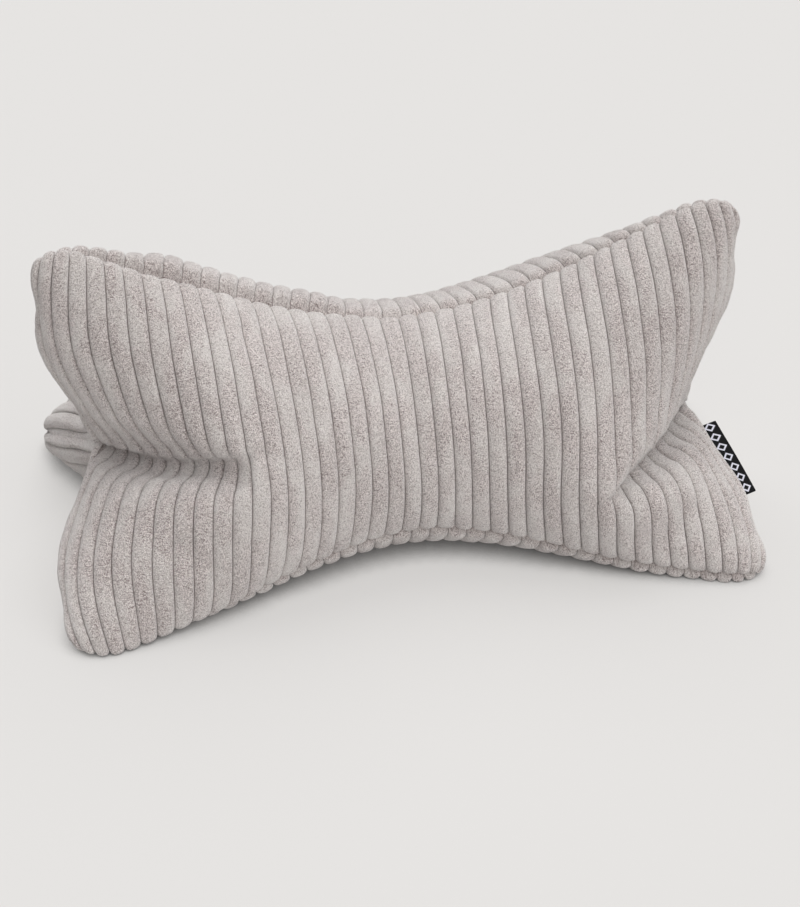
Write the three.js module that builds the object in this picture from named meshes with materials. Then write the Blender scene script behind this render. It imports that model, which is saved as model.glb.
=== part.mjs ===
// Neck pillow: three alike bone-shaped panels of wide-wale corduroy, sewn edge to edge along three long
// seams, closed at both ends in a three-way star and stuffed, with a small folded label in one end seam.
// Millimetres, +Z up. The origin is on the surface it rests on, under the middle of its box.
// +X runs along the pillow, and -Y is its front.
import * as THREE from "three";

// Panel as cut: wales run across it, from one long seam to the other
const WALE_COUNT = 42;
const WALE_PITCH = 10.96;
const PANEL_LENGTH = WALE_COUNT * WALE_PITCH;
const HALF_LENGTH = PANEL_LENGTH / 2;
const WAIST_HALF_WIDTH = 78;
const END_HALF_WIDTH = 156;
const FLARE_POWER = 1.45;
const CORNER_REACH = 50;
const CORNER_CUT = 34;

// End edge of a panel: fullest between its middle and its corners
const END_DIP = 2;
const TIP_SET_BACK = 22;
const FULLEST_SHARE = 0.42;
const END_CURVE_POWER = 4;

// Seams seen from the right end, as angles about the pillow's length: front bottom, top, rear bottom
const SEAM_ANGLES = [210, 90, -30];
const PANEL_TURN = -60;

// Panels in the order of the seams at their lower edges
const FRONT = 0;
const REAR = 1;
const UNDER = 2;

// Grid of each panel while it is being stuffed
const PANELS = SEAM_ANGLES.length;
const CELLS_ALONG = 78;
const CELLS_ACROSS = 24;
const MIDDLE_ROW = CELLS_ACROSS / 2;

// Unfilled start: a thin star of three blades, standing clear of the surface
const START_LIFT = 80;
const START_BELLY = 25;
const START_TAPER = 6;
const START_SLACK = 0.98;

// Stuffing: steps of filling and settling, with the push of the filling and the weight as moves per step
const STEPS = 300;
const SWEEPS = 10;
const FILL_PUSH = 0.15;
const WEIGHT_PULL = 0.024;
const KEPT_SPEED = 0.9;
const FLOOR_GRIP = 0.3;
const NEAR_FLOOR = 0.01;

// How firmly the cloth keeps its length: share of a stretch or a squeeze that one sweep takes back
const CLOTH_TIES = [
  { along: 1, across: 0, groups: 2, stretch: 1.0, squeeze: 0.15 },
  { along: 0, across: 1, groups: 2, stretch: 1.0, squeeze: 0.6 },
  { along: 1, across: 1, groups: 2, stretch: 0.3, squeeze: 0.05 },
  { along: 1, across: -1, groups: 2, stretch: 0.3, squeeze: 0.05 },
  { along: 2, across: 0, groups: 3, stretch: 0.0, squeeze: 0.01 },
  { along: 0, across: 2, groups: 3, stretch: 0.0, squeeze: 0.05 },
];

// Lumps of filling that push harder behind a place of a panel, one row each: distances along and across
// the panel from its middle, how far the lump reaches, and its push beyond the even push of the rest
const LUMPS = [
  { panel: FRONT, along: 160, across: 12, radius: 38, extra: 1.2 },
];

// Smoothing of the pinch at the waist: its reach along the panel, where it starts to fade towards the
// seams, and its sweeps
const WAIST_REACH = 40;
const WAIST_FADE_SHARE = 0.7;
const WAIST_SWEEPS = 30;

// How the soft pillow stands: its upper knobs lean to the front and spread, its left one stands a little
// higher, and its rear knobs spread further than its front ones
const LEFT_KNOB = { lean: 30, spread: 7 };
const RIGHT_KNOB = { lean: 14, spread: 1 };
const TOP_RISE = 6;
const REAR_SPREAD = 3;
const LEAN_HEIGHT = 200;
const LEAN_DEPTH = 100;

// Pushes that the soft pillow has kept, one row each: the middle of the push, its reach and its move. The
// front left knob has slid out, the one with the label is drawn in, and the left end is plumped up.
const PUSHES = [
  { middle: new THREE.Vector3(-205, -95, 35), reach: 60, move: new THREE.Vector3(-7, -4, 0) },
  { middle: new THREE.Vector3(207, -58, 42), reach: 40, move: new THREE.Vector3(-6, 0, 0) },
  { middle: new THREE.Vector3(-158, 15, 208), reach: 42, move: new THREE.Vector3(0, 0, 5) },
  { middle: new THREE.Vector3(-210, -30, 140), reach: 45, move: new THREE.Vector3(-3, 0, 0) },
  { middle: new THREE.Vector3(-195, 95, 75), reach: 40, move: new THREE.Vector3(0, 0, 5) },
];

// Tucks where the cloth folds in from an end, one row each: the panel, its end, where the fold starts on
// the end edge as a share of the half width, how far in and at what share it ends, how far its middle bows
// up, its depth, width and lips
const TUCKS = [
  { panel: FRONT, end: -1, from: 0.09, toIn: 140, to: 0.0, bow: -12, depth: 8, width: 8, lip: 2.5 },
  { panel: FRONT, end: 1, from: 0, toIn: 125, to: -0.58, bow: 8, depth: 7, width: 8, lip: 2.5 },
  { panel: REAR, end: -1, from: 0.04, toIn: 110, to: 0.08, bow: 0, depth: 6, width: 9, lip: 2 },
  { panel: REAR, end: 1, from: -0.03, toIn: 105, to: 0.12, bow: 0, depth: 6, width: 9, lip: 2 },
];
const LIP_OFFSET = 1.8;
const LIP_WIDTH = 1.4;
const TUCK_FADE = 0.7;

// Wales: rounded ridges with a groove between, flattened where they meet a seam or the surface
const SAMPLES_PER_WALE = 3;
const WALE_HEIGHT = 2.8;
const WALE_END_TAPER = 5;
const WALE_SHIFT = [0, 2, 1];
const REST_LIFT = 1.8;

// Rows of the finished surface from a panel's middle line to its seam, closer together near the tucks
const ROWS_TO_SEAM = 7;
const ROW_POWER = 1.5;
const LAST_ROW_SHARE = 0.93;

// Label: a folded tab along the end seam of the front lower right knob
const LABEL_FROM = 0.28;
const LABEL_TO = 0.74;
const LABEL_STAND_OUT = 14.8;
const LABEL_THICKNESS = 1.3;
const LABEL_GAP = 2.2;

// Finishes
const PILE_COLOUR = 0xb9b2ac;
const PILE_ROUGHNESS = 0.95;
const LABEL_COLOUR = 0x17171a;
const LABEL_ROUGHNESS = 0.8;

const POINTS_ALONG = CELLS_ALONG + 1;
const POINTS_ACROSS = CELLS_ACROSS + 1;
const POINT_COUNT = PANELS * POINTS_ALONG * POINTS_ACROSS;

/** A round hump, 1 at distance 0 and fading over a distance of about 1. */
function hump(distance) {
  return Math.exp(-(distance ** 2));
}

/** Index of a panel's point, numbered along the pillow and then across from seam to seam. */
function pointIndex(panel, along, across) {
  return ((panel % PANELS) * POINTS_ALONG + along) * POINTS_ACROSS + across;
}

/** Half width of the cut panel at a distance from its middle, with its corners rounded. */
function halfWidthAt(along) {
  const share = Math.abs(along) / HALF_LENGTH;
  const flared = WAIST_HALF_WIDTH + (END_HALF_WIDTH - WAIST_HALF_WIDTH) * share ** FLARE_POWER;
  const intoCorner = Math.max(0, 1 - (HALF_LENGTH - Math.abs(along)) / CORNER_REACH);
  return flared - CORNER_CUT * (1 - Math.sqrt(1 - intoCorner ** 2));
}

/** How far an end edge is cut back at a share of the half width. */
function endSetBack(share) {
  if (share < FULLEST_SHARE) {
    return END_DIP * (1 - share / FULLEST_SHARE) ** 2;
  }
  return TIP_SET_BACK * ((share - FULLEST_SHARE) / (1 - FULLEST_SHARE)) ** 2;
}

/** Place of a grid point on the flat panel. */
function flatPoint(along, across) {
  const distance = (along / CELLS_ALONG - 0.5) * PANEL_LENGTH;
  const share = across / MIDDLE_ROW - 1;
  const setBack = endSetBack(Math.abs(share)) * (Math.abs(distance) / HALF_LENGTH) ** END_CURVE_POWER;
  return new THREE.Vector2(distance - Math.sign(distance) * setBack, halfWidthAt(distance) * share);
}

/** The three panels as a thin star, already joined at their seams. */
function startShape() {
  const points = new Float64Array(3 * POINT_COUNT);
  for (let panel = 0; panel < PANELS; panel += 1) {
    const belly = THREE.MathUtils.degToRad(SEAM_ANGLES[panel] + PANEL_TURN);
    for (let along = 0; along < POINTS_ALONG; along += 1) {
      const distance = (along / CELLS_ALONG - 0.5) * PANEL_LENGTH;
      const taper = 1 - (Math.abs(distance) / HALF_LENGTH) ** START_TAPER;
      for (let across = 0; across < POINTS_ACROSS; across += 1) {
        const share = across / MIDDLE_ROW - 1;
        const seam = share > 0 ? SEAM_ANGLES[(panel + 1) % PANELS] : SEAM_ANGLES[panel];
        const blade = THREE.MathUtils.degToRad(seam);
        const reach = Math.abs(share) * halfWidthAt(distance) * START_SLACK;
        const push = START_BELLY * (1 - Math.abs(share)) * taper;
        const at = 3 * pointIndex(panel, along, across);
        points[at] = distance;
        points[at + 1] = reach * Math.cos(blade) + push * Math.cos(belly);
        points[at + 2] = reach * Math.sin(blade) + push * Math.sin(belly) + START_LIFT;
      }
    }
  }
  return points;
}

/** Pairs and threesomes of points that sewing makes one, for panels of a given number of points. */
function sewnPoints(pointsAlong, pointsAcross) {
  const index = (panel, along, across) =>
    ((panel % PANELS) * pointsAlong + along) * pointsAcross + across;
  const middle = (pointsAcross - 1) / 2;
  const sewn = [];
  for (let panel = 0; panel < PANELS; panel += 1) {
    for (let along = 0; along < pointsAlong; along += 1) {
      sewn.push([index(panel, along, pointsAcross - 1), index(panel + 1, along, 0)]);
    }
    for (const end of [0, pointsAlong - 1]) {
      for (let step = 1; step < middle; step += 1) {
        sewn.push([index(panel, end, middle + step), index(panel + 1, end, middle - step)]);
      }
    }
  }
  for (const end of [0, pointsAlong - 1]) {
    sewn.push([FRONT, REAR, UNDER].map((panel) => index(panel, end, middle)));
  }
  return sewn;
}

/** Gives sewn points one value: the sum of theirs times a share. */
function join(values, sewn, shareOf) {
  for (const group of sewn) {
    const share = shareOf(group.length);
    for (let axis = 0; axis < 3; axis += 1) {
      const sum = group.reduce((total, point) => total + values[3 * point + axis], 0);
      group.forEach((point) => {
        values[3 * point + axis] = sum * share;
      });
    }
  }
}

const average = (size) => 1 / size;
const total = () => 1;

/** Ties between neighbouring points, in groups that share no point. */
function clothTies() {
  const ties = [];
  for (const kind of CLOTH_TIES) {
    const lowest = Math.max(0, -kind.across);
    const highest = CELLS_ACROSS - Math.max(0, kind.across);
    for (let group = 0; group < kind.groups; group += 1) {
      for (let panel = 0; panel < PANELS; panel += 1) {
        for (let along = 0; along <= CELLS_ALONG - kind.along; along += 1) {
          for (let across = lowest; across <= highest; across += 1) {
            if ((kind.along > 0 ? along : across) % kind.groups === group) {
              const next = [along + kind.along, across + kind.across];
              ties.push({
                first: 3 * pointIndex(panel, along, across),
                second: 3 * pointIndex(panel, ...next),
                rest: flatPoint(along, across).distanceTo(flatPoint(...next)),
                stretch: kind.stretch / 2,
                squeeze: kind.squeeze / 2,
              });
            }
          }
        }
      }
    }
  }
  return ties;
}

/** Draws each tie towards its cut length. */
function tighten(points, ties) {
  for (const { first, second, rest, stretch, squeeze } of ties) {
    const x = points[second] - points[first];
    const y = points[second + 1] - points[first + 1];
    const z = points[second + 2] - points[first + 2];
    const length = Math.sqrt(x * x + y * y + z * z);
    const strain = (length - rest) / Math.max(length, Number.EPSILON);
    const move = strain * (strain > 0 ? stretch : squeeze);
    points[first] += move * x;
    points[first + 1] += move * y;
    points[first + 2] += move * z;
    points[second] -= move * x;
    points[second + 1] -= move * y;
    points[second + 2] -= move * z;
  }
}

/** How hard the filling pushes behind every point, 1 where it is even. */
function fillingFullness() {
  const fullness = new Float64Array(POINT_COUNT).fill(1);
  for (const lump of LUMPS) {
    const middle = new THREE.Vector2(lump.along, lump.across);
    for (let along = 0; along < POINTS_ALONG; along += 1) {
      for (let across = 0; across < POINTS_ACROSS; across += 1) {
        const away = flatPoint(along, across).distanceTo(middle) / lump.radius;
        fullness[pointIndex(lump.panel, along, across)] += lump.extra * hump(away);
      }
    }
  }
  return fullness;
}

/** Outward push of the filling on every point, from the area around it. */
function fillingPush(points, sewn, fullness) {
  const push = new Float64Array(points.length);
  const place = (index) => new THREE.Vector3().fromArray(points, 3 * index);
  for (let panel = 0; panel < PANELS; panel += 1) {
    for (let along = 0; along < CELLS_ALONG; along += 1) {
      for (let across = 0; across < CELLS_ACROSS; across += 1) {
        const corners = [
          pointIndex(panel, along, across),
          pointIndex(panel, along + 1, across),
          pointIndex(panel, along, across + 1),
          pointIndex(panel, along + 1, across + 1),
        ];
        const rising = place(corners[3]).sub(place(corners[0]));
        const falling = place(corners[2]).sub(place(corners[1]));
        const area = rising.cross(falling).multiplyScalar(0.5 / corners.length);
        for (const corner of corners) {
          push[3 * corner] += area.x * fullness[corner];
          push[3 * corner + 1] += area.y * fullness[corner];
          push[3 * corner + 2] += area.z * fullness[corner];
        }
      }
    }
  }
  join(push, sewn, total);
  return push;
}

/** Fills the sewn panels and lets them settle on the surface. */
function stuff() {
  const sewn = sewnPoints(POINTS_ALONG, POINTS_ACROSS);
  const ties = clothTies();
  const fullness = fillingFullness();
  const points = startShape();
  const speed = new Float64Array(points.length);
  const cellArea = PANEL_LENGTH / CELLS_ALONG * (WAIST_HALF_WIDTH + END_HALF_WIDTH) / CELLS_ACROSS;
  for (let step = 0; step < STEPS; step += 1) {
    const before = points.slice();
    const push = fillingPush(points, sewn, fullness);
    for (let at = 0; at < points.length; at += 1) {
      const weight = at % 3 === 2 ? WEIGHT_PULL : 0;
      points[at] += KEPT_SPEED * speed[at] + FILL_PUSH * push[at] / cellArea - weight;
    }
    for (let sweep = 0; sweep < SWEEPS; sweep += 1) {
      tighten(points, ties);
      join(points, sewn, average);
      for (let at = 2; at < points.length; at += 3) {
        points[at] = Math.max(0, points[at]);
      }
    }
    for (let at = 0; at < points.length; at += 1) {
      const resting = before[at - (at % 3) + 2] <= NEAR_FLOOR;
      speed[at] = (points[at] - before[at]) * (resting ? FLOOR_GRIP : 1);
    }
  }
  return points;
}

/** Leans and spreads the soft knobs of the stuffed pillow. */
function lean(points) {
  const reach = new THREE.Box3().setFromArray(points).max.x;
  for (let at = 0; at < points.length; at += 3) {
    const out = points[at] / reach;
    const height = points[at + 2] / LEAN_HEIGHT;
    const knob = out < 0 ? LEFT_KNOB : RIGHT_KNOB;
    const depth = points[at + 1] / LEAN_DEPTH;
    points[at] += out * (knob.spread * height ** 2 + REAR_SPREAD * depth);
    points[at + 1] -= knob.lean * height ** 2 * out ** 2;
    points[at + 2] -= TOP_RISE * height * out;
  }
}

/** Moves the places that the pushes reach. */
function pushAbout(points) {
  for (let at = 0; at < points.length; at += 3) {
    const place = new THREE.Vector3().fromArray(points, at);
    const moved = place.clone();
    for (const { middle, reach, move } of PUSHES) {
      moved.addScaledVector(move, hump(place.distanceTo(middle) / reach));
    }
    moved.toArray(points, at);
  }
}

/** Smooths the pinch across the waist of the stuffed pillow, between its seams. */
function easeWaist(points) {
  for (let sweep = 0; sweep < WAIST_SWEEPS; sweep += 1) {
    const before = points.slice();
    for (let panel = 0; panel < PANELS; panel += 1) {
      for (let along = 1; along < CELLS_ALONG; along += 1) {
        const distance = (along / CELLS_ALONG - 0.5) * PANEL_LENGTH;
        for (let across = 0; across < POINTS_ACROSS; across += 1) {
          const share = Math.abs(across / MIDDLE_ROW - 1);
          const fade = 1 - THREE.MathUtils.smoothstep(share, WAIST_FADE_SHARE, 1);
          const amount = 0.5 * hump(distance / WAIST_REACH) * fade;
          const at = 3 * pointIndex(panel, along, across);
          const last = 3 * pointIndex(panel, along - 1, across);
          const next = 3 * pointIndex(panel, along + 1, across);
          for (let axis = 0; axis < 3; axis += 1) {
            const mean = (before[last + axis] + before[next + axis]) / 2;
            points[at + axis] += amount * (mean - before[at + axis]);
          }
        }
      }
    }
  }
}

/** Weights of four neighbours in a smooth curve, a fraction of the way between the middle two. */
function curveWeights(t) {
  return [
    (-t + 2 * t ** 2 - t ** 3) / 2,
    (2 - 5 * t ** 2 + 3 * t ** 3) / 2,
    (t + 4 * t ** 2 - 3 * t ** 3) / 2,
    (t ** 3 - t ** 2) / 2,
  ];
}

/** A grid point of a panel, carried on straight past its edges. */
function gridPoint(points, panel, along, across) {
  if (along < 0 || along > CELLS_ALONG) {
    const edge = along < 0 ? 0 : CELLS_ALONG;
    const inner = gridPoint(points, panel, 2 * edge - along, across);
    return gridPoint(points, panel, edge, across).multiplyScalar(2).sub(inner);
  }
  if (across < 0 || across > CELLS_ACROSS) {
    const edge = across < 0 ? 0 : CELLS_ACROSS;
    const inner = gridPoint(points, panel, along, 2 * edge - across);
    return gridPoint(points, panel, along, edge).multiplyScalar(2).sub(inner);
  }
  return new THREE.Vector3().fromArray(points, 3 * pointIndex(panel, along, across));
}

/** A point of the smooth surface of a panel, at places counted in grid cells. */
function surfacePoint(points, panel, along, across) {
  const firstAlong = Math.min(Math.floor(along), CELLS_ALONG - 1);
  const firstAcross = Math.min(Math.floor(across), CELLS_ACROSS - 1);
  const weightsAlong = curveWeights(along - firstAlong);
  const weightsAcross = curveWeights(across - firstAcross);
  const place = new THREE.Vector3();
  weightsAlong.forEach((weightAlong, stepAlong) => {
    weightsAcross.forEach((weightAcross, stepAcross) => {
      const point = gridPoint(points, panel, firstAlong + stepAlong - 1, firstAcross + stepAcross - 1);
      place.addScaledVector(point, weightAlong * weightAcross);
    });
  });
  return place;
}

/** How far a tuck moves the cloth outwards at a place on the flat panel. */
function tuckDepth(tuck, along, acrossShare) {
  const place = new THREE.Vector2(along, acrossShare * halfWidthAt(along));
  const fromAlong = tuck.end * HALF_LENGTH;
  const toAlong = tuck.end * (HALF_LENGTH - tuck.toIn);
  const from = new THREE.Vector2(fromAlong, tuck.from * halfWidthAt(fromAlong));
  const line = new THREE.Vector2(toAlong, tuck.to * halfWidthAt(toAlong)).sub(from);
  const offset = place.sub(from);
  const share = THREE.MathUtils.clamp(offset.dot(line) / line.lengthSq(), 0, 1);
  const above = Math.sign(line.x) * line.cross(offset) / line.length();
  const aside = Math.abs(above - tuck.bow * 4 * share * (1 - share)) / tuck.width;
  const fade = (1 - share) ** TUCK_FADE;
  return fade * (tuck.lip * hump((aside - LIP_OFFSET) / LIP_WIDTH) - tuck.depth * hump(aside));
}

/** Height of the wales at a column and row of the finished surface. */
function waleHeight(panel, column, columns, acrossShare) {
  const along = (column / columns - 0.5) * PANEL_LENGTH;
  const toSeam = (1 - Math.abs(acrossShare)) * halfWidthAt(along);
  const toEnd = HALF_LENGTH - Math.abs(along);
  const taper = Math.min(1, Math.min(toSeam, toEnd) / WALE_END_TAPER);
  const inGroove = (column + WALE_SHIFT[panel]) % SAMPLES_PER_WALE === 0;
  return inGroove ? 0 : WALE_HEIGHT * Math.sqrt(taper);
}

/** Share of the half width at a row, negative below a panel's middle line. */
function rowShare(row) {
  const step = row - ROWS_TO_SEAM;
  if (Math.abs(step) === ROWS_TO_SEAM) {
    return Math.sign(step);
  }
  return Math.sign(step) * LAST_ROW_SHARE * (Math.abs(step) / (ROWS_TO_SEAM - 1)) ** ROW_POWER;
}

/** The finished outer surface: rows and columns of points of the three panels, tucked, ribbed and sewn. */
function finishedSurface(points) {
  const columns = WALE_COUNT * SAMPLES_PER_WALE;
  const rows = 2 * ROWS_TO_SEAM;
  const values = [];
  for (let panel = 0; panel < PANELS; panel += 1) {
    for (let column = 0; column <= columns; column += 1) {
      const along = (column / columns - 0.5) * PANEL_LENGTH;
      const cellAlong = column / columns * CELLS_ALONG;
      for (let row = 0; row <= rows; row += 1) {
        const share = rowShare(row);
        const cellAcross = (share + 1) * MIDDLE_ROW;
        const place = surfacePoint(points, panel, cellAlong, cellAcross);
        const before = surfacePoint(points, panel, Math.max(0, cellAlong - 1), cellAcross);
        const after = surfacePoint(points, panel, Math.min(CELLS_ALONG, cellAlong + 1), cellAcross);
        const below = surfacePoint(points, panel, cellAlong, Math.max(0, cellAcross - 1));
        const above = surfacePoint(points, panel, cellAlong, Math.min(CELLS_ACROSS, cellAcross + 1));
        const outward = after.sub(before).cross(above.sub(below)).normalize();
        const tucked = TUCKS.filter((tuck) => tuck.panel === panel && tuck.end * along > 0)
          .reduce((depth, tuck) => depth + tuckDepth(tuck, along, share), 0);
        place.addScaledVector(outward, tucked + waleHeight(panel, column, columns, share));
        place.z = Math.max(0, place.z + REST_LIFT);
        values.push(...place.toArray());
      }
    }
  }
  const sewn = sewnPoints(columns + 1, rows + 1);
  join(values, sewn, average);
  return { values, sewn, columns, rows };
}

/** Place of a finished point, by panel, column and row. */
function finishedPoint({ values, columns, rows }, panel, column, row) {
  const index = (panel * (columns + 1) + column) * (rows + 1) + row;
  return new THREE.Vector3().fromArray(values, 3 * index);
}

/** One closed skin from the sewn surface, its cells split through the corners of the panels. */
function pillowGeometry(surface) {
  const { values, sewn, columns, rows } = surface;
  const owner = Array.from({ length: values.length / 3 }, (unused, index) => index);
  for (const group of sewn) {
    const first = Math.min(...group.map((point) => owner[point]));
    group.forEach((point) => {
      owner[point] = first;
    });
  }
  const index = (panel, column, row) => owner[(panel * (columns + 1) + column) * (rows + 1) + row];
  const faces = [];
  for (let panel = 0; panel < PANELS; panel += 1) {
    for (let column = 0; column < columns; column += 1) {
      for (let row = 0; row < rows; row += 1) {
        const a = index(panel, column, row);
        const b = index(panel, column + 1, row);
        const c = index(panel, column + 1, row + 1);
        const d = index(panel, column, row + 1);
        const splitRising = (column < columns / 2) === (row < rows / 2);
        faces.push(...(splitRising ? [a, b, c, a, c, d] : [a, b, d, b, c, d]));
      }
    }
  }
  const numbers = new Map([...new Set(faces)].map((point, number) => [point, number]));
  const places = [...numbers.keys()].flatMap((point) => values.slice(3 * point, 3 * point + 3));
  const geometry = new THREE.BufferGeometry();
  geometry.setAttribute("position", new THREE.Float32BufferAttribute(places, 3));
  geometry.setIndex(faces.map((point) => numbers.get(point)));
  geometry.computeVertexNormals();
  return geometry;
}

/** Place and outward direction on the right end seam of the front panel, at a share of the half width. */
function endSeamFrame(surface, share) {
  const { columns, rows } = surface;
  let row = 0;
  while (rowShare(row + 1) < share) {
    row += 1;
  }
  const part = (share - rowShare(row)) / (rowShare(row + 1) - rowShare(row));
  const between = (panel, column, first, second) =>
    finishedPoint(surface, panel, column, first).lerp(finishedPoint(surface, panel, column, second), part);
  const place = between(FRONT, columns, row, row + 1);
  const front = place.clone().sub(between(FRONT, columns - SAMPLES_PER_WALE, row, row + 1));
  const under = place.clone().sub(between(UNDER, columns - SAMPLES_PER_WALE, rows - row, rows - row - 1));
  return { place, out: front.normalize().add(under.normalize()).normalize() };
}

/** The folded label: a flat strip that stands out from the seam, follows it and ends in a rounded fold. */
function labelGeometry(surface) {
  const inner = Array.from({ length: surface.rows }, (unused, row) => rowShare(row))
    .filter((share) => share > -LABEL_TO && share < -LABEL_FROM);
  const stations = [-LABEL_TO, ...inner, -LABEL_FROM].map((share) => endSeamFrame(surface, share));
  const along = stations.at(-1).place.clone().sub(stations[0].place).normalize();
  const out = stations.reduce((sum, station) => sum.add(station.out), new THREE.Vector3());
  out.addScaledVector(along, -out.dot(along)).normalize();
  const side = along.cross(out);
  const half = LABEL_THICKNESS / 2;
  const foldStart = LABEL_GAP + LABEL_STAND_OUT - half;
  const section = [
    { out: LABEL_GAP, side: -half },
    { out: foldStart, side: -half },
    { out: foldStart + half, side: 0 },
    { out: foldStart, side: half },
    { out: LABEL_GAP, side: half },
  ];
  const places = stations.flatMap(({ place }) => section.flatMap((corner) =>
    place.clone().addScaledVector(out, corner.out).addScaledVector(side, corner.side).toArray()));
  const corners = section.length;
  const faces = [];
  for (let station = 0; station < stations.length - 1; station += 1) {
    for (let corner = 0; corner < corners; corner += 1) {
      const a = station * corners + corner;
      const b = station * corners + (corner + 1) % corners;
      faces.push(a, b, b + corners, a, b + corners, a + corners);
    }
  }
  const last = (stations.length - 1) * corners;
  for (let corner = 1; corner < corners - 1; corner += 1) {
    faces.push(0, corner + 1, corner);
    faces.push(last, last + corner, last + corner + 1);
  }
  const geometry = new THREE.BufferGeometry();
  geometry.setAttribute("position", new THREE.Float32BufferAttribute(places, 3));
  geometry.setIndex(faces);
  geometry.computeVertexNormals();
  return geometry;
}

/** A named piece with its own material. */
function piece(name, geometry, colour, roughness) {
  const material = new THREE.MeshStandardMaterial({ color: colour, roughness, metalness: 0 });
  const mesh = new THREE.Mesh(geometry, material);
  mesh.name = name;
  return mesh;
}

const stuffed = stuff();
lean(stuffed);
pushAbout(stuffed);
easeWaist(stuffed);
const surface = finishedSurface(stuffed);

const neckPillow = new THREE.Group();
neckPillow.add(piece("pillow", pillowGeometry(surface), PILE_COLOUR, PILE_ROUGHNESS));
neckPillow.add(piece("label", labelGeometry(surface), LABEL_COLOUR, LABEL_ROUGHNESS));

// The middle of the whole stands over the origin
const middle = new THREE.Box3().setFromObject(neckPillow).getCenter(new THREE.Vector3());
neckPillow.position.set(-middle.x, -middle.y, 0);

export default neckPillow;
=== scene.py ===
"""Neck pillow: three wide-wale corduroy panels, sewn, stuffed and laid on a pale floor.

The cut, the sewing and the filling are worked in millimetres, as the panels are cut, and every finished
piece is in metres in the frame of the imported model: +X along the pillow, -Y its front, +Z up.
"""

import logging
import math
from dataclasses import dataclass, field
from enum import Enum, IntEnum
from typing import Any, Iterable, Union

import bmesh
import bpy
import numpy as np
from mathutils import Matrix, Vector, noise


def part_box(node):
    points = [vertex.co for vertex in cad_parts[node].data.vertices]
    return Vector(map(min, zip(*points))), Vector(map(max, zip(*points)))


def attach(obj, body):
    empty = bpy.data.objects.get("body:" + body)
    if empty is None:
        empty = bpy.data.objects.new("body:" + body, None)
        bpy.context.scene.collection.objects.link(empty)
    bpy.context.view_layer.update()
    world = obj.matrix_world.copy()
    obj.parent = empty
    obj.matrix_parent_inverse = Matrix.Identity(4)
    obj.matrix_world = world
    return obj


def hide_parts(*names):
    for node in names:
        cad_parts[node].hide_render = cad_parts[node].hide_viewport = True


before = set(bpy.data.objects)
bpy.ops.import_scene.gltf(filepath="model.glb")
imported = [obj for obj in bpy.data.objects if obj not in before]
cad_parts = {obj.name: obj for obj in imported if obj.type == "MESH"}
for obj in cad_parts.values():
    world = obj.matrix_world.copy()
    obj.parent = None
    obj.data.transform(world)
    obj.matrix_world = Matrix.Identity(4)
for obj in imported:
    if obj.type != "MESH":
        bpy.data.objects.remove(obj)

MM = 0.001
PHOTO_SIZE = (800, 907)
WALE_MAP = "wales"
RIBBON_MAP = "ribbon"
TINY = 1e-12
SEWN_TOGETHER = 1e-7

log = logging.getLogger("neck_pillow")

Number = Union[int, float]
Edges = tuple[float, float]
Triple = tuple[float, float, float]
Colour = tuple[float, float, float, float]


class Panel(IntEnum):
    """The three panels, in the order of the seams at their lower edges."""

    FRONT = 0
    REAR = 1
    UNDER = 2


class Slot(Enum):
    """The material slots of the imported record."""

    CORDUROY = "corduroy"
    RIBBON = "label_ribbon"


def smooth_step(low: float, high: float, value: np.ndarray) -> np.ndarray:
    """Eases from 0 at one value to 1 at another.

    Args:
        low: Value that gives 0.
        high: Value that gives 1.
        value: Values to ease.

    Returns:
        The eased shares.
    """
    share = np.clip((value - low) / (high - low), 0.0, 1.0)
    return share * share * (3.0 - 2.0 * share)


def hump(distance: np.ndarray) -> np.ndarray:
    """A round hump, 1 at distance 0 and fading over a distance of about 1."""
    return np.exp(-(distance ** 2))


def unit(vectors: np.ndarray) -> np.ndarray:
    """The vectors, each made one long."""
    return vectors / np.maximum(np.linalg.norm(vectors, axis=-1, keepdims=True), TINY)


def soft_noise(places: np.ndarray, size: float, seed: float) -> np.ndarray:
    """Smooth noise over places, from about -1 to 1.

    Args:
        places: Places, with their coordinates in the last axis.
        size: Distance over which the noise changes.
        seed: Offset that gives each use its own noise.

    Returns:
        One value for each place.
    """
    flat = places.reshape(-1, 3) / size + seed
    return np.array([noise.noise(Vector(place)) for place in flat]).reshape(places.shape[:-1])


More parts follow.
